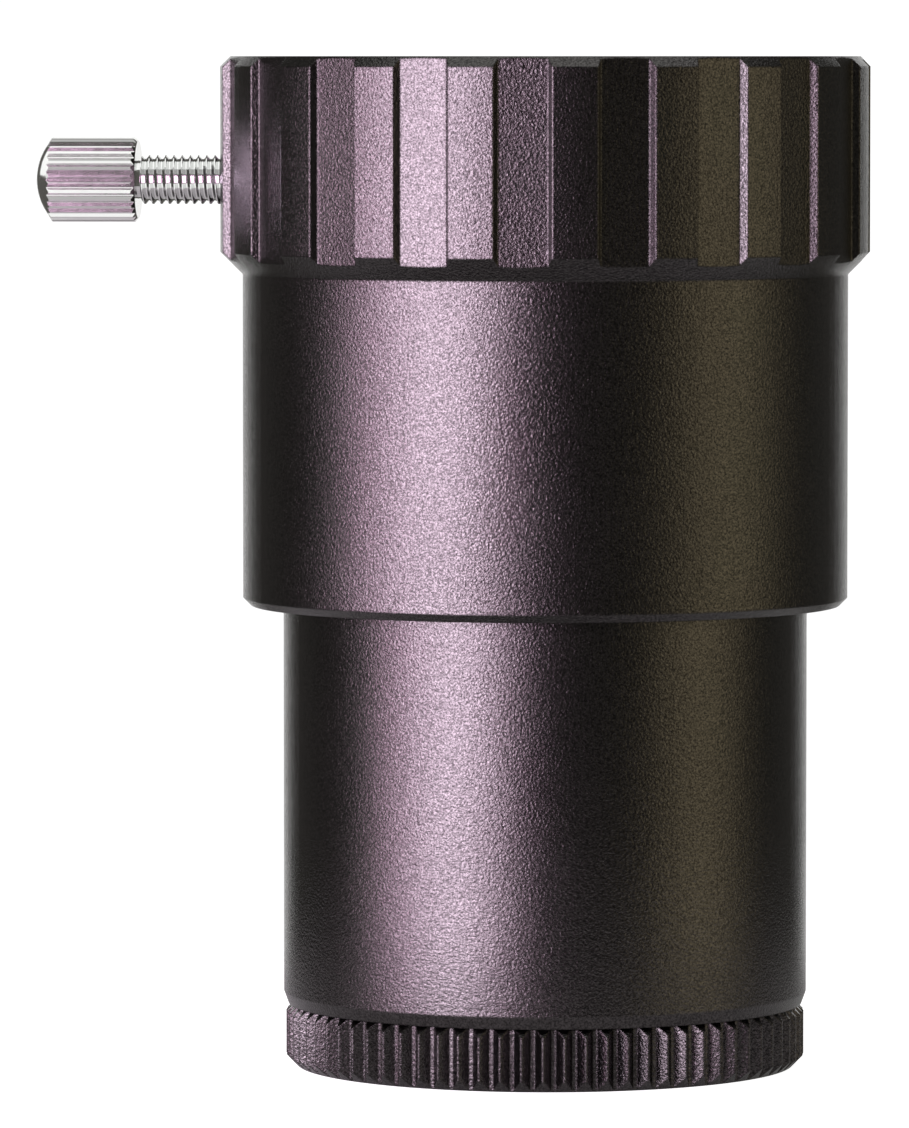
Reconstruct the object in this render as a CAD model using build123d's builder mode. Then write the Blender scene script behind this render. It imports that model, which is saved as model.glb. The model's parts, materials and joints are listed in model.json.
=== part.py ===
from build123d import *
import math
import os

# A 2x Barlow lens for 31.75 mm (1.25 inch) eyepieces, in millimetres.
# The Z axis is the optical axis. Z = 0 is the bottom face of the lens cell, and
# +Z points to the eyepiece. The clamp screw lies along X, on the -X side.

# ---- driving dimensions ----------------------------------------------------

# Standard sizes
BARREL_R = 31.75 / 2            # 1.25 inch barrels, this one's own and the eyepiece's
FILTER_R = 28.50 / 2            # M28.5 x 0.6 filter thread, major radius

# Heights along the optical axis
RIM_HEIGHT = 3.74               # knurled rim of the lens cell
BARREL_SHOWING = 24.25          # nose barrel between the rim and the holder
BODY_HEIGHT = 20.03             # plain part of the holder, below the cone
GRIP_HEIGHT = 11.81             # grip, from the top of the cone to the mouth

# Eyepiece holder
BODY_WALL = 2.38                # from the socket's wall to the outside of the body
GRIP_STEP = 1.34                # how far the grip stands out from the body
BODY_CHAMFER = 0.46
GRIP_CHAMFER = 0.62
MOUTH_CHAMFER = 0.40
GROOVE_COUNT = 20
GROOVE_DEPTH = 0.52             # to the middle of each flat floor
GROOVE_FLOOR_WIDTH = 2.95
GROOVE_WALL_ANGLE = 30.0        # lean of each wall from the groove's centreline
EDGE_BREAK = 0.08               # tiny bevel along the edges of the lands
EDGE_BREAK_ANGLE = 65.0
STOP_THICKNESS = 1.2            # inner shoulder that the eyepiece stops on
STOP_WIDTH = 2.15

# Nose barrel
BORE_STEP = 0.25                # the bore's step in from the filter thread
SPIGOT_STEP = 0.425             # the step in to the thread that screws into the holder
SPIGOT_LENGTH = 5.0
SHOULDER_RECESS = 0.15          # how far the barrel's shoulder sits inside the holder
BARREL_TAPER = 0.275
BARREL_TAPER_HEIGHT = 0.75
BAFFLE_DEPTH = 0.35             # anti-glare grooves in the bore
BAFFLE_PITCH = 0.9
BAFFLE_MARGIN = 1.2             # plain bore left at each end of the grooves

# Lens cell
RIM_SETBACK = 0.145             # crests of the knurl, back from the barrel's surface
RIM_TEETH = 77
RIM_TOOTH_DEPTH = 0.58
RIM_CREST_WIDTH = 0.10
RIM_VALLEY_WIDTH = 0.25
RIM_BOTTOM_CHAMFER = 0.65
RIM_TOP_CHAMFER = 0.46
FILTER_DEPTH = 2.8
STEM_CHAMFER = 0.3
STEM_LIP = 0.35                 # the male stem's height above the retaining ring
STEM_RELIEF = 0.35              # thread run-out, next to the rim
STEM_RELIEF_HEIGHT = 0.6
SEAT_WIDTH = 0.9                # lip that carries the doublet
SEAT_THICKNESS = 0.9

# Cemented doublet
LENS_INSET = 2.75               # from the filter thread to the edge of the glass
LENS_BEVEL = 0.12
FLINT_EDGE = 0.9                # edge height of the lower, positive lens
CEMENT_SPHERE = 50.0            # radius of the cemented surfaces
CROWN_CENTRE = 0.9              # middle thickness of the upper, negative lens
CROWN_SPHERE = 60.0             # radius of its concave top

# Retaining ring
RETAINER_LEDGE = 0.55           # how far its thread stands out past the glass
RETAINER_HEIGHT = 0.9
SPANNER_SLOT_WIDTH = 1.2
SPANNER_SLOT_DEPTH = 0.45

# Compression ring
RING_THICKNESS = 0.8
RING_HEIGHT = 4.0
RING_SPLIT = 1.6
RING_CHAMFER = 0.15

# Clamp screw, M3 x 0.5
SCREW_BELOW_MOUTH = 7.48
STUD_R = 1.5
STUD_NECK_R = 1.15
STUD_NECK_LENGTH = 0.45
STUD_CHAMFER = 0.25
KNOB_REACH = 5.10               # from the grip's surface to the knob's inner face
KNOB_R = 2.58
KNOB_GRIP_LENGTH = 5.22
KNOB_DOME_HEIGHT = 1.01
KNOB_CHAMFER = 0.22
KNOB_TEETH = 32
KNOB_TOOTH_DEPTH = 0.16
KNOB_CREST_WIDTH = 0.12
KNOB_VALLEY_WIDTH = 0.06
KNOB_SOCKET_DEPTH = 3.6         # how far the stud's plain end goes into the knob
PAD_R = 1.42
PAD_THICKNESS = 0.5
PAD_TO_RING = 0.20              # room in front of the pad, as the screw stands

# ---- clearances ------------------------------------------------------------

SOCKET_CLEARANCE = 0.075        # radial, an eyepiece's barrel in the socket
THREAD_CLEARANCE = 0.05         # radial, plain cylinders that stand for threads
SEAT_CLEARANCE = 0.03           # axial, between faces that are screwed together
SPIGOT_CLEARANCE = 0.10         # axial, above the barrel's spigot
STEM_CLEARANCE = 0.35           # axial, above the cell's stem
LENS_CLEARANCE = 0.05           # radial, glass in metal
CEMENT_GAP = 0.02               # axial, between the two lenses
RING_CLEARANCE = 0.10           # axial, compression ring in its groove
RING_FLOAT = 0.25               # radial, behind the compression ring
RING_SETBACK = 0.05             # how far the ring stays back from the socket's wall
PAD_CLEARANCE = 0.05            # between the pad and the tip of the stud
KNOB_CLEARANCE = 0.02           # radial, the stud's plain end in the knob


def sag(sphere_r, r):
    """How far a spherical surface falls away from its middle at radius r."""
    return sphere_r - math.sqrt(sphere_r**2 - r**2)


# ---- radii and places worked out from them ---------------------------------

socket_r = BARREL_R + SOCKET_CLEARANCE
body_r = socket_r + BODY_WALL
grip_r = body_r + GRIP_STEP
groove_floor_r = grip_r - GROOVE_DEPTH
spigot_r = BARREL_R - SPIGOT_STEP
bore_r = FILTER_R - BORE_STEP
crest_r = BARREL_R - RIM_SETBACK
stem_r = FILTER_R - THREAD_CLEARANCE
lens_r = FILTER_R - LENS_INSET
seat_hole_r = lens_r - SEAT_WIDTH
retainer_r = lens_r + RETAINER_LEDGE
ring_inner_r = socket_r + RING_SETBACK
ring_outer_r = ring_inner_r + RING_THICKNESS

holder_z = RIM_HEIGHT + BARREL_SHOWING
cone_z = holder_z + BODY_HEIGHT
grip_z = cone_z + GRIP_STEP
top_z = grip_z + GRIP_HEIGHT
stop_bottom_z = holder_z + SPIGOT_LENGTH + SPIGOT_CLEARANCE
stop_top_z = stop_bottom_z + STOP_THICKNESS

seat_z = FILTER_DEPTH + SEAT_THICKNESS
cement_edge_z = seat_z + FLINT_EDGE
cement_middle_z = cement_edge_z + sag(CEMENT_SPHERE, lens_r)
crown_middle_z = cement_middle_z + CEMENT_GAP + CROWN_CENTRE
crown_edge_z = crown_middle_z + sag(CROWN_SPHERE, lens_r)
retainer_z = crown_edge_z + SEAT_CLEARANCE
stem_top_z = retainer_z + RETAINER_HEIGHT + STEM_LIP

barrel_bottom_z = RIM_HEIGHT + SEAT_CLEARANCE
barrel_shoulder_z = holder_z + SHOULDER_RECESS
spigot_top_z = holder_z + SPIGOT_LENGTH
stem_room_z = stem_top_z + STEM_CLEARANCE

screw_z = top_z - SCREW_BELOW_MOUTH
pad_x = ring_outer_r + PAD_TO_RING
stud_x = pad_x + PAD_THICKNESS + PAD_CLEARANCE
knob_x = grip_r + KNOB_REACH
neck_x = knob_x - STUD_NECK_LENGTH
stud_end_x = knob_x + KNOB_SOCKET_DEPTH
knob_dome_x = knob_x + KNOB_GRIP_LENGTH
knob_end_x = knob_dome_x + KNOB_DOME_HEIGHT

# the clamp screw's axis: its normal points out of the holder, along -X
screw_plane = Plane(origin=(0, 0, screw_z), x_dir=(0, 1, 0), z_dir=(-1, 0, 0))
screw_axis = Axis((0, 0, screw_z), (-1, 0, 0))


def knurl_points(outer_r, depth, teeth, valley_width, crest_width):
    """The corners of a straight V knurl, seen along its axis."""
    points = []
    for tooth in range(teeth):
        valley = 2 * math.pi * tooth / teeth
        crest = valley + math.pi / teeth
        for middle, r, width in ((valley, outer_r - depth, valley_width), (crest, outer_r, crest_width)):
            for angle in (middle - width / 2 / r, middle + width / 2 / r):
                points.append((r * math.cos(angle), r * math.sin(angle)))
    return points


def write(piece, label):
    """Name a finished sub-part and write its STEP file."""
    piece.part.label = label
    export_step(piece.part, f"parts/{label}.step")


os.makedirs("parts", exist_ok=True)

# ---- eyepiece holder: body, cone and grip, turned in one piece ---------------

with BuildPart() as eyepiece_holder:
    with BuildSketch(Plane.XZ):
        with BuildLine():
            Polyline(
                (BARREL_R + THREAD_CLEARANCE, holder_z),
                (body_r - BODY_CHAMFER, holder_z),
                (body_r, holder_z + BODY_CHAMFER),
                (body_r, cone_z),
                (grip_r, grip_z),
                (grip_r, top_z - GRIP_CHAMFER),
                (grip_r - GRIP_CHAMFER, top_z),
                (socket_r + MOUTH_CHAMFER, top_z),
                (socket_r, top_z - MOUTH_CHAMFER),
                (socket_r, stop_top_z),
                (socket_r - STOP_WIDTH, stop_top_z),
                (socket_r - STOP_WIDTH, stop_bottom_z),
                (spigot_r + THREAD_CLEARANCE, stop_bottom_z),
                (spigot_r + THREAD_CLEARANCE, barrel_shoulder_z + SEAT_CLEARANCE),
                (BARREL_R + THREAD_CLEARANCE, barrel_shoulder_z + SEAT_CLEARANCE),
                close=True,
            )
        make_face()
    revolve(axis=Axis.Z)

    # the compression ring's groove, inside the socket
    with BuildSketch(Plane.XY.offset(screw_z - RING_HEIGHT / 2 - RING_CLEARANCE)):
        Circle(ring_outer_r + RING_FLOAT)
        Circle(socket_r - RING_SETBACK, mode=Mode.SUBTRACT)
    extrude(amount=RING_HEIGHT + 2 * RING_CLEARANCE, mode=Mode.SUBTRACT)

    # finger grooves round the grip, with one of them centred on the clamp screw
    break_r = grip_r - EDGE_BREAK
    outside_r = grip_r + EDGE_BREAK
    wall_run = (break_r - groove_floor_r) * math.tan(math.radians(GROOVE_WALL_ANGLE))
    break_half = GROOVE_FLOOR_WIDTH / 2 + wall_run
    outside_half = break_half + (outside_r - break_r) * math.tan(math.radians(EDGE_BREAK_ANGLE))
    with BuildSketch(Plane.XY.offset(cone_z)):
        with PolarLocations(0, GROOVE_COUNT):
            Polygon(
                (groove_floor_r, -GROOVE_FLOOR_WIDTH / 2),
                (break_r, -break_half),
                (outside_r, -outside_half),
                (outside_r, outside_half),
                (break_r, break_half),
                (groove_floor_r, GROOVE_FLOOR_WIDTH / 2),
                align=None,
            )
    extrude(amount=top_z - cone_z, mode=Mode.SUBTRACT)

    # tapped hole for the clamp screw, through one side
    with BuildSketch(screw_plane.offset(socket_r - RING_SETBACK)):
        Circle(STUD_R + THREAD_CLEARANCE)
    extrude(amount=grip_r - socket_r + 2 * RING_SETBACK, mode=Mode.SUBTRACT)

write(eyepiece_holder, "eyepiece_holder")

# ---- nose barrel, with anti-glare grooves turned in its bore -----------------

baffle_bottom_z = stem_room_z + BAFFLE_MARGIN
baffle_count = int((spigot_top_z - BAFFLE_MARGIN - baffle_bottom_z) / BAFFLE_PITCH)
baffles = []
for groove in range(baffle_count):
    groove_z = baffle_bottom_z + groove * BAFFLE_PITCH
    baffles.append((bore_r, groove_z))
    baffles.append((bore_r + BAFFLE_DEPTH, groove_z + BAFFLE_PITCH / 2))
baffles.append((bore_r, baffle_bottom_z + baffle_count * BAFFLE_PITCH))

with BuildPart() as nose_barrel:
    with BuildSketch(Plane.XZ):
        with BuildLine():
            Polyline(
                (FILTER_R, barrel_bottom_z),
                (BARREL_R - BARREL_TAPER, barrel_bottom_z),
                (BARREL_R, barrel_bottom_z + BARREL_TAPER_HEIGHT),
                (BARREL_R, barrel_shoulder_z),
                (spigot_r, barrel_shoulder_z),
                (spigot_r, spigot_top_z),
                (bore_r, spigot_top_z),
                *reversed(baffles),
                (bore_r, stem_room_z),
                (FILTER_R, stem_room_z),
                close=True,
            )
        make_face()
    revolve(axis=Axis.Z)

write(nose_barrel, "nose_barrel")

# ---- cemented doublet --------------------------------------------------------

with BuildPart() as flint_lens:
    with BuildSketch(Plane.XZ):
        with BuildLine():
            Polyline((0, cement_middle_z), (0, seat_z), (lens_r, seat_z), (lens_r, cement_edge_z))
            ThreePointArc(
                (lens_r, cement_edge_z),
                (lens_r / 2, cement_middle_z - sag(CEMENT_SPHERE, lens_r / 2)),
                (0, cement_middle_z),
            )
        make_face()
    revolve(axis=Axis.Z)
    chamfer(flint_lens.edges().filter_by(GeomType.CIRCLE).sort_by(Axis.Z)[0], LENS_BEVEL)

write(flint_lens, "flint_lens")

with BuildPart() as crown_lens:
    with BuildSketch(Plane.XZ):
        with BuildLine():
            ThreePointArc(
                (0, cement_middle_z + CEMENT_GAP),
                (lens_r / 2, cement_middle_z + CEMENT_GAP - sag(CEMENT_SPHERE, lens_r / 2)),
                (lens_r, cement_edge_z + CEMENT_GAP),
            )
            Polyline((lens_r, cement_edge_z + CEMENT_GAP), (lens_r, crown_edge_z))
            ThreePointArc(
                (lens_r, crown_edge_z),
                (lens_r / 2, crown_middle_z + sag(CROWN_SPHERE, lens_r / 2)),
                (0, crown_middle_z),
            )
            Polyline((0, crown_middle_z), (0, cement_middle_z + CEMENT_GAP))
        make_face()
    revolve(axis=Axis.Z)
    chamfer(crown_lens.edges().filter_by(GeomType.CIRCLE).sort_by(Axis.Z)[-1], LENS_BEVEL)

write(crown_lens, "crown_lens")

# ---- retaining ring, screwed down on the doublet -----------------------------

with BuildPart() as lens_retainer:
    with BuildSketch(Plane.XY.offset(retainer_z)):
        Circle(retainer_r)
        Circle(seat_hole_r, mode=Mode.SUBTRACT)
    extrude(amount=RETAINER_HEIGHT)
    with BuildSketch(Plane.XY.offset(retainer_z + RETAINER_HEIGHT - SPANNER_SLOT_DEPTH)):
        Rectangle(2.2 * retainer_r, SPANNER_SLOT_WIDTH)
    extrude(amount=SPANNER_SLOT_DEPTH, mode=Mode.SUBTRACT)

write(lens_retainer, "lens_retainer")

# ---- lens cell: knurled rim with the filter thread, and the stem -------------

with BuildPart() as lens_cell:
    with BuildSketch(Plane.XY):
        Polygon(
            *knurl_points(crest_r, RIM_TOOTH_DEPTH, RIM_TEETH, RIM_VALLEY_WIDTH, RIM_CREST_WIDTH),
            align=None,
        )
    extrude(amount=RIM_HEIGHT)
    with BuildSketch(Plane.XZ):
        with BuildLine():
            Polyline(
                (0, 0),
                (crest_r - RIM_BOTTOM_CHAMFER, 0),
                (crest_r, RIM_BOTTOM_CHAMFER),
                (crest_r, RIM_HEIGHT - RIM_TOP_CHAMFER),
                (crest_r - RIM_TOP_CHAMFER, RIM_HEIGHT),
                (0, RIM_HEIGHT),
                close=True,
            )
        make_face()
    revolve(axis=Axis.Z, mode=Mode.INTERSECT)
    with BuildSketch(Plane.XZ):
        with BuildLine():
            Polyline(
                (0, FILTER_DEPTH),
                (stem_r - STEM_RELIEF, FILTER_DEPTH),
                (stem_r - STEM_RELIEF, RIM_HEIGHT + STEM_RELIEF_HEIGHT),
                (stem_r, RIM_HEIGHT + STEM_RELIEF_HEIGHT + STEM_RELIEF),
                (stem_r, stem_top_z - STEM_CHAMFER),
                (stem_r - STEM_CHAMFER, stem_top_z),
                (0, stem_top_z),
                close=True,
            )
        make_face()
    revolve(axis=Axis.Z)

    # filter thread, clear aperture, doublet's seat and retainer's thread
    with BuildSketch(Plane.XZ):
        with BuildLine():
            Polyline(
                (0, 0),
                (FILTER_R, 0),
                (FILTER_R, FILTER_DEPTH),
                (seat_hole_r, FILTER_DEPTH),
                (seat_hole_r, seat_z - SEAT_CLEARANCE),
                (lens_r + LENS_CLEARANCE, seat_z - SEAT_CLEARANCE),
                (lens_r + LENS_CLEARANCE, retainer_z),
                (retainer_r + THREAD_CLEARANCE, retainer_z),
                (retainer_r + THREAD_CLEARANCE, stem_top_z),
                (0, stem_top_z),
                close=True,
            )
        make_face()
    revolve(axis=Axis.Z, mode=Mode.SUBTRACT)

write(lens_cell, "lens_cell")

# ---- compression ring, split on the side away from the screw -----------------

with BuildPart() as compression_ring:
    with BuildSketch(Plane.XY.offset(screw_z - RING_HEIGHT / 2)):
        Circle(ring_outer_r)
        Circle(ring_inner_r, mode=Mode.SUBTRACT)
    extrude(amount=RING_HEIGHT)
    chamfer(compression_ring.edges().filter_by(GeomType.CIRCLE), RING_CHAMFER)
    with BuildSketch(Plane.XY.offset(screw_z - RING_HEIGHT / 2)):
        with Locations((ring_outer_r, 0)):
            Rectangle(4 * RING_THICKNESS, RING_SPLIT)
    extrude(amount=RING_HEIGHT, mode=Mode.SUBTRACT)

write(compression_ring, "compression_ring")

# ---- clamp screw: pressure pad, threaded stud and knurled knob ---------------

with BuildPart() as pressure_pad:
    with BuildSketch(screw_plane.offset(pad_x)):
        Circle(PAD_R)
    extrude(amount=PAD_THICKNESS)

write(pressure_pad, "pressure_pad")

with BuildPart() as clamp_stud:
    with BuildSketch(screw_plane.offset(stud_x)):
        Circle(STUD_R)
    extrude(amount=neck_x - stud_x)
    chamfer(clamp_stud.edges().filter_by(GeomType.CIRCLE), STUD_CHAMFER)
    with BuildSketch(screw_plane.offset(neck_x)):
        Circle(STUD_NECK_R)
    extrude(amount=stud_end_x - neck_x)

write(clamp_stud, "clamp_stud")

with BuildPart() as clamp_knob:
    with BuildSketch(screw_plane.offset(knob_x)):
        Polygon(
            *knurl_points(KNOB_R, KNOB_TOOTH_DEPTH, KNOB_TEETH, KNOB_VALLEY_WIDTH, KNOB_CREST_WIDTH),
            align=None,
        )
    extrude(amount=knob_end_x - knob_x)
    with BuildSketch(Plane.XZ):
        with BuildLine():
            Polyline(
                (-knob_end_x, screw_z),
                (-knob_x, screw_z),
                (-knob_x, screw_z + KNOB_R - KNOB_CHAMFER),
                (-knob_x - KNOB_CHAMFER, screw_z + KNOB_R),
                (-knob_dome_x, screw_z + KNOB_R),
            )
            dome_r = (KNOB_R**2 + KNOB_DOME_HEIGHT**2) / 2 / KNOB_DOME_HEIGHT
            ThreePointArc(
                (-knob_dome_x, screw_z + KNOB_R),
                (-knob_end_x + sag(dome_r, KNOB_R / 2), screw_z + KNOB_R / 2),
                (-knob_end_x, screw_z),
            )
        make_face()
    revolve(axis=screw_axis, mode=Mode.INTERSECT)
    with BuildSketch(screw_plane.offset(knob_x)):
        Circle(STUD_NECK_R + KNOB_CLEARANCE)
    extrude(amount=KNOB_SOCKET_DEPTH + KNOB_CLEARANCE, mode=Mode.SUBTRACT)

write(clamp_knob, "clamp_knob")
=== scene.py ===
import json
import math

import bpy
from mathutils import Matrix, Vector

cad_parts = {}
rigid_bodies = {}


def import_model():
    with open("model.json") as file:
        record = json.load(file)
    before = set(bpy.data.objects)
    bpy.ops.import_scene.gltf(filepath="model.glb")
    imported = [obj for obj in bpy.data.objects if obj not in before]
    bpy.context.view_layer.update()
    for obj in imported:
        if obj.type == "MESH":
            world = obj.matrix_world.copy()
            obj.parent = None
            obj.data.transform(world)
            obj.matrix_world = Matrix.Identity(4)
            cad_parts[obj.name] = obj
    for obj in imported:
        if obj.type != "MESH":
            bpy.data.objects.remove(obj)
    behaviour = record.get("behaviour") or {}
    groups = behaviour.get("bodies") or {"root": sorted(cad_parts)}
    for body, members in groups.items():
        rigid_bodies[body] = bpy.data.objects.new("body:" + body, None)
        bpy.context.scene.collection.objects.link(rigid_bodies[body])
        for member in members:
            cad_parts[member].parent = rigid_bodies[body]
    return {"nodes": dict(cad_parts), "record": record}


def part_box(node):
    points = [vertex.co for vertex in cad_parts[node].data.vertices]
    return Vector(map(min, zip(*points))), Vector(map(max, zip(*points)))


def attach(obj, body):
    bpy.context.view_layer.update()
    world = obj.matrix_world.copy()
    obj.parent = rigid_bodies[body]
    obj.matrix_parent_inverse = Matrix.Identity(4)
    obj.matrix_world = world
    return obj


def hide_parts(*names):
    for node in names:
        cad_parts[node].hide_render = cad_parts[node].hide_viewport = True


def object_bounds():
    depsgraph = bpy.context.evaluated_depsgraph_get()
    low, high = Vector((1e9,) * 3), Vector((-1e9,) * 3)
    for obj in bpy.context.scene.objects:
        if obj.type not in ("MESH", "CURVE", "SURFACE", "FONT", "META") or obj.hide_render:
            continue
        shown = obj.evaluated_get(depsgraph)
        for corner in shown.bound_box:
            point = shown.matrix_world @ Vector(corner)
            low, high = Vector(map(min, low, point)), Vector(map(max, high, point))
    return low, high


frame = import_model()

bl_info = {
    "name": "Barlow Lens",
    "version": (1, 0, 0),
    "blender": (4, 5, 0),
    "location": "3D View > Sidebar > Barlow",
    "description": "Threads, finishes and studio for an eyepiece Barlow lens",
    "category": "Add Mesh",
}

CAD_BOX = [list(corner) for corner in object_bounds()]
NODES = frame["nodes"]


# ---- places read from the frame ---------------------------------------------

def mount(name):
    """One of the record's mounts, with its place in metres and its sizes in millimetres."""
    return next(m for m in frame["record"]["mounts"] if m["name"] == name)


HOLDER_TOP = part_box("eyepiece_holder")[1].z
STUD_LOW, STUD_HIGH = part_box("clamp_stud")
SCREW_Z = (STUD_LOW.z + STUD_HIGH.z) / 2
STUD_R = (STUD_HIGH.z - STUD_LOW.z) / 2
KNOB_FACE_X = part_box("clamp_knob")[1].x
FILTER_R = mount("filter_thread")["dims"]["r_mm"] / 1000
FILTER_DEPTH = mount("filter_thread")["dims"]["length_mm"] / 1000

# the studio, in metres
WHITE = (1.0, 1.0, 1.0)
FLOOR_RADIUS = 0.06
PANEL_HEIGHT = 0.40
PANEL_CENTRE_Z = 0.08
CARD_SIZE = 0.32
CARD_DISTANCE = 0.40
OVERHEAD_SIZE = 0.60
OVERHEAD_Z = 0.60
AIM_LEFT = 0.0055


# ---- settings -----------------------------------------------------------------

class BARLOW_PG_threads(bpy.types.PropertyGroup):
    """Sizes of the screw threads"""

    clamp_pitch: bpy.props.FloatProperty(
        name="Clamp Pitch", description="Advance of the clamp screw in one turn",
        default=0.0005, min=0.0002, unit="LENGTH", precision=5)
    clamp_depth: bpy.props.FloatProperty(
        name="Clamp Depth", description="Depth of the clamp screw's thread",
        default=0.00022, min=0.0001, unit="LENGTH", precision=5)
    neck_length: bpy.props.FloatProperty(
        name="Neck Length", description="Plain neck between the thread and the knob",
        default=0.00025, min=0.0, unit="LENGTH", precision=5)
    neck_radius: bpy.props.FloatProperty(
        name="Neck Radius", description="Radius of the plain neck",
        default=0.00115, min=0.0005, unit="LENGTH", precision=5)
    filter_pitch: bpy.props.FloatProperty(
        name="Filter Pitch", description="Pitch of the filter thread",
        default=0.0006, min=0.0003, unit="LENGTH", precision=5)
    filter_depth: bpy.props.FloatProperty(
        name="Filter Depth", description="Height of the filter thread's ridge",
        default=0.00032, min=0.0001, unit="LENGTH", precision=5)


class BARLOW_PG_finish(bpy.types.PropertyGroup):
    """Colours and textures of the finishes"""

    anodise: bpy.props.FloatVectorProperty(
        name="Anodise", description="Reflected colour of the black anodised metal",
        subtype="COLOR", size=3, default=(0.056, 0.054, 0.052), min=0.0, max=1.0)
    anodise_roughness: bpy.props.FloatProperty(
        name="Anodise Roughness", description="Roughness of the blasted, anodised metal",
        subtype="FACTOR", default=0.25, min=0.0, max=1.0)
    grain_size: bpy.props.FloatProperty(
        name="Grain Size", description="Size of one dimple of the bead blasting",
        default=0.00016, min=0.00002, unit="LENGTH", precision=5)
    grain_depth: bpy.props.FloatProperty(
        name="Grain Depth", description="Depth of the bead blasting's dimples",
        default=0.000040, min=0.0, unit="LENGTH", precision=6)
    edge_radius: bpy.props.FloatProperty(
        name="Edge Radius", description="Radius at which the black parts' edges look rounded",
        default=0.00016, min=0.00001, unit="LENGTH", precision=5)
    nickel: bpy.props.FloatVectorProperty(
        name="Nickel", description="Colour of the plated clamp screw",
        subtype="COLOR", size=3, default=(0.73, 0.74, 0.73), min=0.0, max=1.0)
    brass: bpy.props.FloatVectorProperty(
        name="Brass", description="Colour of the compression ring",
        subtype="COLOR", size=3, default=(0.80, 0.58, 0.26), min=0.0, max=1.0)


class BARLOW_PG_studio(bpy.types.PropertyGroup):
    """Camera and light"""

    camera_distance: bpy.props.FloatProperty(
        name="Camera Distance", description="From the optical axis to the camera",
        default=0.515, min=0.1, unit="LENGTH")
    camera_azimuth: bpy.props.FloatProperty(
        name="Camera Azimuth", description="How far the camera stands round to +X",
        subtype="ANGLE", default=math.radians(3.9))
    light_distance: bpy.props.FloatProperty(
        name="Light Distance", description="From the optical axis to each softbox",
        default=0.60, min=0.2, unit="LENGTH")
    key_brightness: bpy.props.FloatProperty(
        name="Key Brightness", description="Brightness of the middle of the key softbox, on the left",
        default=16.4, min=0.0)
    key_colour: bpy.props.FloatVectorProperty(
        name="Key Colour", description="Colour of the key softbox",
        subtype="COLOR", size=3, default=(0.98, 0.80, 1.0), min=0.0, max=1.0)
    key_edge_colour: bpy.props.FloatVectorProperty(
        name="Key Edge Colour", description="Colour of the key softbox's edges",
        subtype="COLOR", size=3, default=(1.0, 0.60, 0.90), min=0.0, max=1.0)
    warm_brightness: bpy.props.FloatProperty(
        name="Warm Brightness", description="Brightness of the warm strip, on the right",
        default=1.25, min=0.0)
    warm_colour: bpy.props.FloatVectorProperty(
        name="Warm Colour", description="Colour of the warm strip",
        subtype="COLOR", size=3, default=(1.0, 0.84, 0.52), min=0.0, max=1.0)
    back_brightness: bpy.props.FloatProperty(
        name="Back Brightness", description="Brightness of the white panel behind", default=1.2, min=0.0)
    top_brightness: bpy.props.FloatProperty(
        name="Top Brightness", description="Brightness of the soft light overhead", default=1.2, min=0.0)
    card_brightness: bpy.props.FloatProperty(
        name="Card Brightness", description="Brightness of the white cards round the clamp screw",
        default=0.9, min=0.0)
    floor_glow: bpy.props.FloatProperty(
        name="Floor Glow", description="Light that the floor throws on the part", default=0.20, min=0.0)


# ---- modelling helpers ----------------------------------------------------------

def deselect():
    """Leave edit mode with nothing selected."""
    if bpy.context.object and bpy.context.object.mode != "OBJECT":
        bpy.ops.object.mode_set(mode="OBJECT")
    bpy.ops.object.select_all(action="DESELECT")


def select_only(obj):
    """Make one object the selected and active one."""
    deselect()
    obj.select_set(True)
    bpy.context.view_layer.objects.active = obj


def settle(obj, turn=None):
    """Put an object's place, and an optional matrix, into its mesh."""
    bpy.context.view_layer.update()
    matrix = obj.matrix_world.copy()
    if turn is not None:
        matrix = turn @ matrix
    obj.data.transform(matrix)
    obj.matrix_world = Matrix.Identity(4)


def profile_object(name, points, closed=False):
    """An object holding only the edges of a profile, given as (radius, height) in the XZ plane."""
    mesh = bpy.data.meshes.new(name)
    edges = [(i, i + 1) for i in range(len(points) - 1)]
    if closed:
        edges.append((len(points) - 1, 0))
    mesh.from_pydata([(r, 0.0, z) for r, z in points], edges, [])
    obj = bpy.data.objects.new(name, mesh)
    bpy.context.scene.collection.objects.link(obj)
    return obj


def wind(obj, pitch, turns, steps):
    """Wind a profile up the Z axis into a thread, with a Screw modifier."""
    select_only(obj)
    screw = obj.modifiers.new("thread", "SCREW")
    screw.axis = "Z"
    screw.angle = 2 * math.pi
    screw.screw_offset = pitch
    screw.iterations = turns
    screw.steps = steps
    screw.render_steps = steps
    screw.use_merge_vertices = True
    screw.merge_threshold = 1e-7
    bpy.ops.object.modifier_apply(modifier=screw.name)


def trim(obj, height, upper):
    """Cut a thread flat at a height and close the cut."""
    select_only(obj)
    bpy.ops.object.mode_set(mode="EDIT")
    bpy.ops.mesh.select_all(action="SELECT")
    bpy.ops.mesh.bisect(
        plane_co=(0.0, 0.0, height), plane_no=(0.0, 0.0, 1.0), use_fill=True,
        clear_outer=upper, clear_inner=not upper, threshold=1e-7)
    bpy.ops.object.mode_set(mode="OBJECT")


def face_outwards(obj, merge=1e-7):
    """Merge doubled points and turn every face outwards."""
    select_only(obj)
    bpy.ops.object.mode_set(mode="EDIT")
    bpy.ops.mesh.select_all(action="SELECT")
    bpy.ops.mesh.remove_doubles(threshold=merge)
    bpy.ops.mesh.normals_make_consistent(inside=False)
    bpy.ops.object.mode_set(mode="OBJECT")


def finish_piece(obj, body, material, angle=30):
    """Shade a piece, give it its material and let it ride on its body."""
    select_only(obj)
    bpy.ops.object.shade_smooth_by_angle(angle=math.radians(angle))
    obj.data.materials.clear()
    obj.data.materials.append(material)
    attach(obj, body)
    deselect()


# ---- shader helpers ---------------------------------------------------------------

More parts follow.
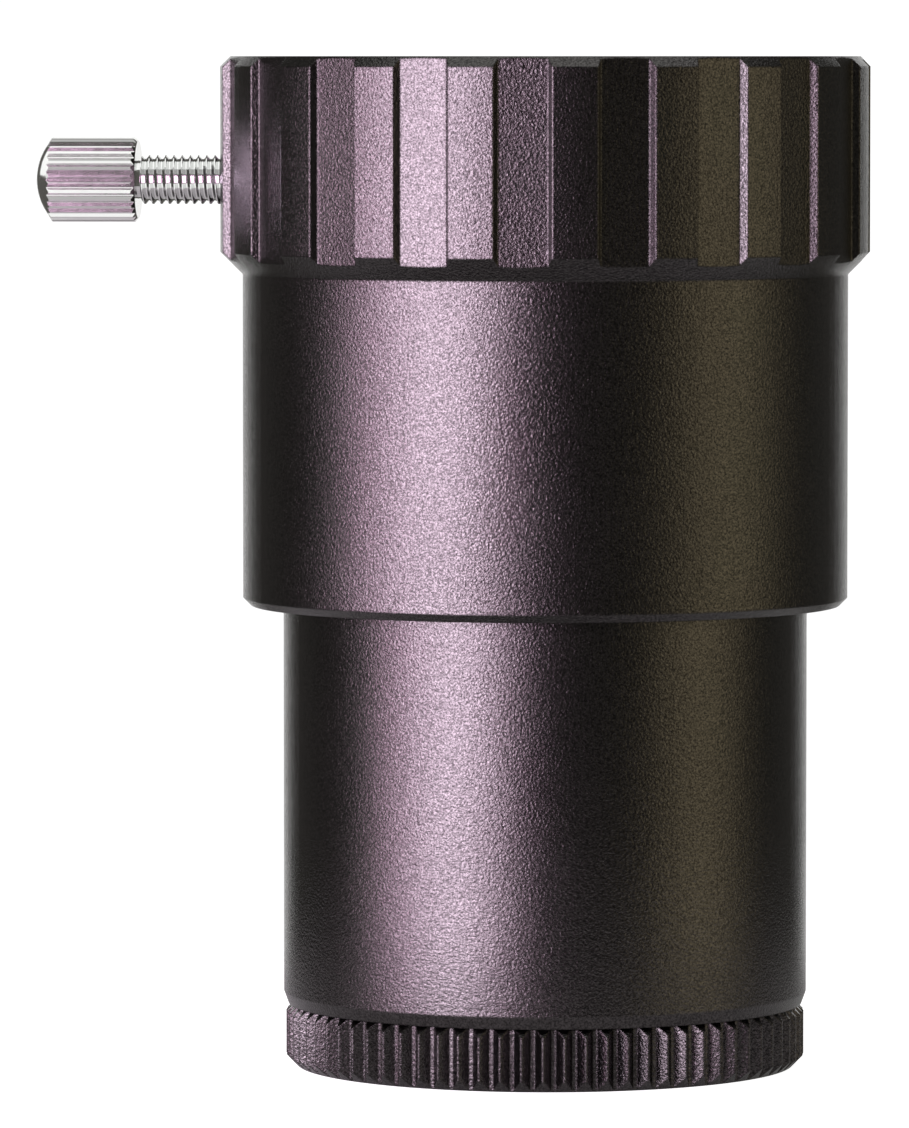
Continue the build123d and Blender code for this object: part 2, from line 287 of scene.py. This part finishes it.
def new_group(name, inputs, outputs):
    """A shader node group with (name, socket type, default) inputs and (name, socket type) outputs."""
    group = bpy.data.node_groups.new(name, "ShaderNodeTree")
    for label, kind, default in inputs:
        socket = group.interface.new_socket(label, in_out="INPUT", socket_type=kind)
        if default is not None:
            socket.default_value = default
    for label, kind in outputs:
        group.interface.new_socket(label, in_out="OUTPUT", socket_type=kind)
    return group


def add(tree, kind, x, y, **values):
    """Add a node, setting its properties and, by socket name, its unlinked inputs."""
    node = tree.nodes.new(kind)
    node.location = (x, y)
    for key, value in values.items():
        if hasattr(node, key):
            setattr(node, key, value)
        else:
            node.inputs[key.replace("_", " ")].default_value = value
    return node


def math_node(tree, operation, x, y, a, b=None):
    """A Math node fed by sockets or numbers."""
    node = add(tree, "ShaderNodeMath", x, y, operation=operation)
    for index, value in enumerate((a, b)):
        if value is None:
            continue
        if hasattr(value, "is_linked"):
            tree.links.new(value, node.inputs[index])
        else:
            node.inputs[index].default_value = value
    return node.outputs[0]


def blasted_grain_group(edge_radius):
    """Bead blasting: a normal with fine dimples and rounded edges, a mask of flecks and one of clouds."""
    group = new_group(
        "Blasted Grain",
        [("Size", "NodeSocketFloat", 0.00016), ("Depth", "NodeSocketFloat", 0.00003)],
        [("Normal", "NodeSocketVector"), ("Flecks", "NodeSocketFloat"), ("Clouds", "NodeSocketFloat")])
    start = add(group, "NodeGroupInput", -1100, 0)
    end = add(group, "NodeGroupOutput", 700, 0)
    coords = add(group, "ShaderNodeTexCoord", -1100, -300)
    scale = math_node(group, "DIVIDE", -900, 100, 1.0, start.outputs["Size"])
    dimples = add(group, "ShaderNodeTexNoise", -300, 200, Detail=2.5, Roughness=0.6)
    flecks = add(group, "ShaderNodeTexNoise", -300, -100, Detail=1.0, Roughness=0.5)
    clouds = add(group, "ShaderNodeTexNoise", -300, -400, Detail=2.0, Roughness=0.5)
    for node in (dimples, flecks, clouds):
        group.links.new(coords.outputs["Object"], node.inputs["Vector"])
    group.links.new(scale, dimples.inputs["Scale"])
    group.links.new(math_node(group, "MULTIPLY", -600, -100, scale, 1.4), flecks.inputs["Scale"])
    group.links.new(math_node(group, "MULTIPLY", -600, -400, scale, 0.02), clouds.inputs["Scale"])
    bump = add(group, "ShaderNodeBump", 300, 100, Strength=1.0)
    edge = add(group, "ShaderNodeBevel", 100, -150, Radius=edge_radius)
    edge.samples = 4
    group.links.new(edge.outputs["Normal"], bump.inputs["Normal"])
    group.links.new(start.outputs["Depth"], bump.inputs["Distance"])
    group.links.new(dimples.outputs["Fac"], bump.inputs["Height"])
    group.links.new(bump.outputs["Normal"], end.inputs["Normal"])
    sharper = add(group, "ShaderNodeMapRange", 0, -100)
    sharper.inputs["From Min"].default_value = 0.32
    sharper.inputs["From Max"].default_value = 0.68
    group.links.new(flecks.outputs["Fac"], sharper.inputs["Value"])
    group.links.new(sharper.outputs[0], end.inputs["Flecks"])
    group.links.new(clouds.outputs["Fac"], end.inputs["Clouds"])
    return group


def material(name):
    """An empty material with its output and a Principled shader."""
    made = bpy.data.materials.new(name)
    made.use_nodes = True
    made.node_tree.nodes.clear()
    shader = add(made.node_tree, "ShaderNodeBsdfPrincipled", 300, 0)
    output = add(made.node_tree, "ShaderNodeOutputMaterial", 620, 0)
    made.node_tree.links.new(shader.outputs[0], output.inputs["Surface"])
    return made, made.node_tree, shader


def shaded(colour, share=1.0):
    """A colour made darker or lighter, with its alpha."""
    return (*[channel * share for channel in colour], 1.0)


def anodised(name, grain_group, settings, roughness, depth_share):
    """Black anodised aluminium over a bead-blasted surface."""
    made, tree, shader = material(name)
    grain = add(tree, "ShaderNodeGroup", -500, -100)
    grain.node_tree = grain_group
    grain.inputs["Size"].default_value = settings.grain_size
    grain.inputs["Depth"].default_value = settings.grain_depth * depth_share
    tone = add(tree, "ShaderNodeMix", -100, 200, data_type="RGBA")
    tone.inputs["A"].default_value = shaded(settings.anodise, 0.50)
    tone.inputs["B"].default_value = shaded(settings.anodise, 1.60)
    tree.links.new(grain.outputs["Flecks"], tone.inputs["Factor"])
    tree.links.new(tone.outputs["Result"], shader.inputs["Base Color"])
    rough = add(tree, "ShaderNodeMapRange", -100, -60)
    rough.inputs["To Min"].default_value = roughness - 0.04
    rough.inputs["To Max"].default_value = roughness + 0.04
    tree.links.new(grain.outputs["Clouds"], rough.inputs["Value"])
    tree.links.new(rough.outputs[0], shader.inputs["Roughness"])
    tree.links.new(grain.outputs["Normal"], shader.inputs["Normal"])
    shader.inputs["Metallic"].default_value = 1.0
    return made


def plated_nickel(settings):
    """Bright nickel plate with a faint fine noise in its roughness and surface."""
    made, tree, shader = material("Bright Nickel")
    coords = add(tree, "ShaderNodeTexCoord", -700, 0)
    noise = add(tree, "ShaderNodeTexNoise", -500, 0, Scale=2500.0, Detail=3.0)
    tree.links.new(coords.outputs["Object"], noise.inputs["Vector"])
    rough = add(tree, "ShaderNodeMapRange", -200, -60)
    rough.inputs["To Min"].default_value = 0.08
    rough.inputs["To Max"].default_value = 0.16
    tree.links.new(noise.outputs["Fac"], rough.inputs["Value"])
    tree.links.new(rough.outputs[0], shader.inputs["Roughness"])
    bump = add(tree, "ShaderNodeBump", -200, -300, Strength=0.4, Distance=0.000003)
    tree.links.new(noise.outputs["Fac"], bump.inputs["Height"])
    tree.links.new(bump.outputs["Normal"], shader.inputs["Normal"])
    shader.inputs["Base Color"].default_value = shaded(settings.nickel)
    shader.inputs["Metallic"].default_value = 1.0
    return made


def turned_brass(settings):
    """Brass with fine lines left by the lathe."""
    made, tree, shader = material("Turned Brass")
    coords = add(tree, "ShaderNodeTexCoord", -900, 0)
    stretch = add(tree, "ShaderNodeMapping", -700, 0)
    stretch.inputs["Scale"].default_value = (60.0, 60.0, 9000.0)
    tree.links.new(coords.outputs["Object"], stretch.inputs["Vector"])
    lines = add(tree, "ShaderNodeTexNoise", -500, 0, Scale=1.0, Detail=3.0)
    tree.links.new(stretch.outputs[0], lines.inputs["Vector"])
    tone = add(tree, "ShaderNodeMix", -200, 200, data_type="RGBA")
    tone.inputs["A"].default_value = shaded(settings.brass, 0.8)
    tone.inputs["B"].default_value = shaded(settings.brass)
    tree.links.new(lines.outputs["Fac"], tone.inputs["Factor"])
    tree.links.new(tone.outputs["Result"], shader.inputs["Base Color"])
    bump = add(tree, "ShaderNodeBump", -200, -300, Strength=0.5, Distance=0.000005)
    tree.links.new(lines.outputs["Fac"], bump.inputs["Height"])
    tree.links.new(bump.outputs["Normal"], shader.inputs["Normal"])
    shader.inputs["Roughness"].default_value = 0.28
    shader.inputs["Metallic"].default_value = 1.0
    return made


def coated_glass():
    """Clear glass with a faint green bloom of antireflection coating."""
    made, tree, shader = material("Coated Glass")
    coords = add(tree, "ShaderNodeTexCoord", -700, 0)
    noise = add(tree, "ShaderNodeTexNoise", -500, 0, Scale=90.0, Detail=1.0)
    tree.links.new(coords.outputs["Object"], noise.inputs["Vector"])
    tint = add(tree, "ShaderNodeMix", -200, 100, data_type="RGBA")
    tint.inputs["A"].default_value = (0.90, 0.98, 0.93, 1.0)
    tint.inputs["B"].default_value = (0.97, 0.99, 0.98, 1.0)
    tree.links.new(noise.outputs["Fac"], tint.inputs["Factor"])
    tree.links.new(tint.outputs["Result"], shader.inputs["Base Color"])
    shader.inputs["Roughness"].default_value = 0.0
    shader.inputs["IOR"].default_value = 1.5
    shader.inputs["Metallic"].default_value = 0.0
    shader.inputs["Transmission Weight"].default_value = 1.0
    shader.inputs["Specular Tint"].default_value = (0.45, 0.95, 0.70, 1.0)
    return made


# ---- pieces ---------------------------------------------------------------------------

class BARLOW_OT_finishes(bpy.types.Operator):
    """Build the finishes and put them on the metal and glass parts"""

    bl_idname = "barlow.finishes"
    bl_label = "Finishes"

    def execute(self, context):
        settings = context.scene.barlow_finish
        grain = blasted_grain_group(settings.edge_radius)
        body = anodised("Black Anodised Body", grain, settings, settings.anodise_roughness, 1.0)
        barrel = anodised("Black Anodised Barrel", grain, settings, settings.anodise_roughness, 0.9)
        rim = anodised("Black Anodised Rim", grain, settings, settings.anodise_roughness - 0.02, 0.8)
        inner = anodised("Black Anodised Ring", grain, settings, settings.anodise_roughness + 0.1, 0.6)
        nickel = plated_nickel(settings)
        brass = turned_brass(settings)
        glass = coated_glass()
        wearing = {
            "eyepiece_holder": body,
            "nose_barrel": barrel,
            "lens_cell": rim,
            "lens_retainer": inner,
            "clamp_knob": nickel,
            "clamp_stud": nickel,
            "compression_ring": brass,
            "pressure_pad": brass,
            "flint_lens": glass,
            "crown_lens": glass,
        }
        for node, finish in wearing.items():
            NODES[node].data.materials.clear()
            NODES[node].data.materials.append(finish)
        return {"FINISHED"}


class BARLOW_OT_clamp_thread(bpy.types.Operator):
    """Cut the clamp screw's helical thread, with its neck"""

    bl_idname = "barlow.clamp_thread"
    bl_label = "Clamp Thread"

    def execute(self, context):
        sizes = context.scene.barlow_threads
        pitch = sizes.clamp_pitch
        root = STUD_R - sizes.clamp_depth
        flat = pitch / 8
        # along +Z from the tip; the neck's end goes on into the knob
        tip_x = STUD_HIGH.x
        thread_length = tip_x - KNOB_FACE_X - sizes.neck_length
        turns = math.ceil(thread_length / pitch) + 3
        thread = profile_object("clamp_thread", [
            (root, 0.0), (root, flat), (STUD_R, pitch / 2), (STUD_R, pitch / 2 + flat), (root, pitch)])
        wind(thread, pitch, turns, 40)
        trim(thread, pitch * 1.5, False)
        trim(thread, pitch * 1.5 + thread_length, True)
        face_outwards(thread)
        # lay it along X, tip inwards
        lay = Matrix.Translation((tip_x, 0.0, SCREW_Z)) @ Matrix.Rotation(math.radians(-90), 4, "Y")
        thread.data.transform(Matrix.Translation((0.0, 0.0, -pitch * 1.5)))
        settle(thread, lay)
        face_outwards(thread)
        nickel = bpy.data.materials["Bright Nickel"]
        finish_piece(thread, "clamp_screw", nickel)

        neck_end = STUD_LOW.x
        neck_start = tip_x - thread_length + pitch * 0.4
        deselect()
        bpy.ops.mesh.primitive_cylinder_add(
            vertices=48, radius=sizes.neck_radius, depth=neck_start - neck_end,
            location=((neck_start + neck_end) / 2, 0.0, SCREW_Z), rotation=(0.0, math.radians(90), 0.0))
        neck = context.object
        neck.name = "clamp_neck"
        select_only(neck)
        bpy.ops.object.mode_set(mode="EDIT")
        bpy.ops.mesh.select_all(action="SELECT")
        bpy.ops.mesh.bevel(offset=sizes.neck_radius * 0.1, segments=2, affect="EDGES")
        bpy.ops.object.mode_set(mode="OBJECT")
        settle(neck)
        finish_piece(neck, "clamp_screw", nickel)
        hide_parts("clamp_stud")
        return {"FINISHED"}


class BARLOW_OT_filter_thread(bpy.types.Operator):
    """Wind the ridges of the filter thread inside the lens cell's mouth"""

    bl_idname = "barlow.filter_thread"
    bl_label = "Filter Thread"

    def execute(self, context):
        sizes = context.scene.barlow_threads
        pitch = sizes.filter_pitch
        into_wall = 0.00002
        end_gap = 0.00015
        outer = FILTER_R + into_wall
        inner = FILTER_R - sizes.filter_depth
        turns = int(FILTER_DEPTH / pitch) + 2
        ridge = profile_object("filter_thread", [
            (outer, 0.0), (inner, pitch * 0.40), (inner, pitch * 0.55), (outer, pitch * 0.95)], closed=True)
        wind(ridge, pitch, turns, 128)
        trim(ridge, pitch * 1.1, False)
        trim(ridge, pitch * 1.1 + FILTER_DEPTH - 2 * end_gap, True)
        ridge.data.transform(Matrix.Translation((0.0, 0.0, end_gap - pitch * 1.1)))
        face_outwards(ridge)
        finish_piece(ridge, "cell", bpy.data.materials["Black Anodised Rim"])
        return {"FINISHED"}


# ---- studio -----------------------------------------------------------------------------

def softbox(name, place, target, width, height, brightness, colour):
    """A rectangular softbox of a given brightness, facing a point and unseen by the camera."""
    deselect()
    bpy.ops.object.light_add(type="AREA", location=place)
    lamp = bpy.context.object
    lamp.name = name
    lamp.visible_camera = False
    lamp.data.shape = "RECTANGLE"
    lamp.data.size = width
    lamp.data.size_y = height
    lamp.data.energy = brightness * math.pi * width * height
    lamp.data.color = colour
    lamp.rotation_euler = (Vector(target) - Vector(place)).to_track_quat("-Z", "Y").to_euler()
    return lamp


def around(azimuth, distance, height):
    """A point round the object: azimuth 0 is the camera's side, and positive goes to +X."""
    return Vector((distance * math.sin(azimuth), -distance * math.cos(azimuth), height))


def pale_floor(glow):
    """A plain floor that the camera sees as white, and that throws only a little light on the part."""
    deselect()
    bpy.ops.mesh.primitive_circle_add(
        vertices=96, radius=FLOOR_RADIUS, fill_type="NGON", location=(0, 0, CAD_BOX[0][2]))
    floor = bpy.context.object
    floor.name = "pale_floor"
    paint, tree, shader = material("Pale Floor")
    coords = add(tree, "ShaderNodeTexCoord", -700, 0)
    noise = add(tree, "ShaderNodeTexNoise", -500, 0, Scale=400.0, Detail=2.0)
    tree.links.new(coords.outputs["Object"], noise.inputs["Vector"])
    tone = add(tree, "ShaderNodeMix", -200, 100, data_type="RGBA")
    tone.inputs["A"].default_value = shaded(WHITE, 0.48)
    tone.inputs["B"].default_value = shaded(WHITE, 0.52)
    tree.links.new(noise.outputs["Fac"], tone.inputs["Factor"])
    tree.links.new(tone.outputs["Result"], shader.inputs["Base Color"])
    shader.inputs["Roughness"].default_value = 0.8
    shader.inputs["Emission Color"].default_value = shaded(WHITE)
    path = add(tree, "ShaderNodeLightPath", -500, -300)
    strength = math_node(tree, "MAXIMUM", -200, -300, path.outputs["Is Camera Ray"], glow)
    tree.links.new(strength, shader.inputs["Emission Strength"])
    floor.data.materials.append(paint)


def upright_panels(studio):
    """Softboxes standing round the object, each with a first azimuth and a width in degrees."""
    key, warm, back = studio.key_brightness, studio.warm_brightness, studio.back_brightness
    for name, start, span, brightness, colour in (
        ("key_edge_front", -24, 8, key * 0.32, studio.key_edge_colour),
        ("key_front", -36, 12, key * 0.84, studio.key_colour),
        ("key_middle", -48, 12, key, studio.key_colour),
        ("key_rear", -60, 12, key * 0.66, studio.key_colour),
        ("key_edge_rear", -72, 12, key * 0.46, studio.key_edge_colour),
        ("key_edge_far", -84, 12, key * 0.08, WHITE),
        ("warm_front", 48, 12, warm * 0.50, studio.warm_colour),
        ("warm_middle", 60, 24, warm, studio.warm_colour),
        ("warm_rear", 84, 12, warm * 0.40, studio.warm_colour),
        ("back_right", 156, 24, back * 0.75, WHITE),
        ("back_left", 180, 24, back * 0.90, WHITE),
    ):
        azimuth = studio.camera_azimuth + math.radians(start + span / 2)
        place = around(azimuth, studio.light_distance, PANEL_CENTRE_Z)
        width = 2 * studio.light_distance * math.tan(math.radians(span / 2))
        softbox(name, place, (0.0, 0.0, PANEL_CENTRE_Z), width, PANEL_HEIGHT, brightness, colour)


def screw_cards(brightness):
    """White cards that brighten only the nickel screw."""
    nickel = bpy.data.materials["Bright Nickel"]
    bright = bpy.data.collections.new("Bright Parts")
    for piece in bpy.data.objects:
        if piece.type == "MESH" and nickel in piece.data.materials[:]:
            bright.objects.link(piece)
    for name, azimuth, height, share in (
        ("card_high", -20, 0.45, 0.55),
        ("card_low", -20, -0.25, 1.25),
        ("card_rear", -112, 0.22, 1.30),
    ):
        card = softbox(
            name, around(math.radians(azimuth), CARD_DISTANCE, height), (KNOB_FACE_X, 0.0, SCREW_Z),
            CARD_SIZE, CARD_SIZE, brightness * share, WHITE)
        card.light_linking.receiver_collection = bright


def studio_world():
    """A world that the camera sees as white and that lights the part only faintly."""
    world = bpy.data.worlds.new("Studio")
    world.use_nodes = True
    tree = world.node_tree
    tree.nodes.clear()
    output = add(tree, "ShaderNodeOutputWorld", 500, 0)
    seen = add(tree, "ShaderNodeBackground", 0, 100, Color=shaded(WHITE), Strength=1.05)
    lit = add(tree, "ShaderNodeBackground", 0, -100, Color=(1.0, 0.96, 0.88, 1.0), Strength=0.11)
    path = add(tree, "ShaderNodeLightPath", 0, 400)
    mix = add(tree, "ShaderNodeMixShader", 250, 0)
    tree.links.new(path.outputs["Is Camera Ray"], mix.inputs[0])
    tree.links.new(lit.outputs[0], mix.inputs[1])
    tree.links.new(seen.outputs[0], mix.inputs[2])
    tree.links.new(mix.outputs[0], output.inputs["Surface"])
    return world


def level_camera(azimuth, distance):
    """A long-lens camera level with the holder's mouth, aimed a little below the middle and to the left."""
    lens = bpy.data.cameras.new("camera")
    lens.lens = 271.3
    lens.sensor_width = 36.0
    lens.clip_start = 0.01
    lens.clip_end = 20.0
    camera = bpy.data.objects.new("camera", lens)
    bpy.context.scene.collection.objects.link(camera)
    eye = around(azimuth, distance, HOLDER_TOP)
    right = Vector((math.cos(azimuth), math.sin(azimuth), 0.0))
    aim = Vector((0.0, 0.0, HOLDER_TOP * 0.497)) - right * AIM_LEFT
    camera.location = eye
    camera.rotation_euler = (aim - eye).to_track_quat("-Z", "Y").to_euler()
    return camera


class BARLOW_OT_stage(bpy.types.Operator):
    """Lay the pale floor, hang the soft lights and set up the camera"""

    bl_idname = "barlow.stage"
    bl_label = "Stage"

    def execute(self, context):
        studio = context.scene.barlow_studio
        context.scene.view_settings.view_transform = "Standard"
        pale_floor(studio.floor_glow)
        upright_panels(studio)
        screw_cards(studio.card_brightness)
        softbox("overhead", (0.0, 0.0, OVERHEAD_Z), (0.0, 0.0, 0.0), OVERHEAD_SIZE, OVERHEAD_SIZE,
                studio.top_brightness, WHITE)
        context.scene.world = studio_world()
        context.scene.camera = level_camera(studio.camera_azimuth, studio.camera_distance)
        return {"FINISHED"}


class BARLOW_PT_panel(bpy.types.Panel):
    """Everything that builds the Barlow lens"""

    bl_idname = "BARLOW_PT_panel"
    bl_label = "Barlow Lens"
    bl_space_type = "VIEW_3D"
    bl_region_type = "UI"
    bl_category = "Barlow"

    def draw(self, context):
        for group in (context.scene.barlow_threads, context.scene.barlow_finish, context.scene.barlow_studio):
            box = self.layout.box()
            for label in group.__annotations__:
                box.prop(group, label)
        for operator in OPERATORS:
            self.layout.operator(operator.bl_idname)


GROUPS = (BARLOW_PG_threads, BARLOW_PG_finish, BARLOW_PG_studio)
OPERATORS = (BARLOW_OT_finishes, BARLOW_OT_clamp_thread, BARLOW_OT_filter_thread, BARLOW_OT_stage)


def register():
    for item in (*GROUPS, *OPERATORS, BARLOW_PT_panel):
        bpy.utils.register_class(item)
    bpy.types.Scene.barlow_threads = bpy.props.PointerProperty(type=BARLOW_PG_threads)
    bpy.types.Scene.barlow_finish = bpy.props.PointerProperty(type=BARLOW_PG_finish)
    bpy.types.Scene.barlow_studio = bpy.props.PointerProperty(type=BARLOW_PG_studio)


def unregister():
    del bpy.types.Scene.barlow_threads
    del bpy.types.Scene.barlow_finish
    del bpy.types.Scene.barlow_studio
    for item in reversed((*GROUPS, *OPERATORS, BARLOW_PT_panel)):
        bpy.utils.unregister_class(item)


def main():
    """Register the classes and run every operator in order."""
    register()
    bpy.ops.barlow.finishes()
    bpy.ops.barlow.clamp_thread()
    bpy.ops.barlow.filter_thread()
    bpy.ops.barlow.stage()


if __name__ == "__main__":
    main()
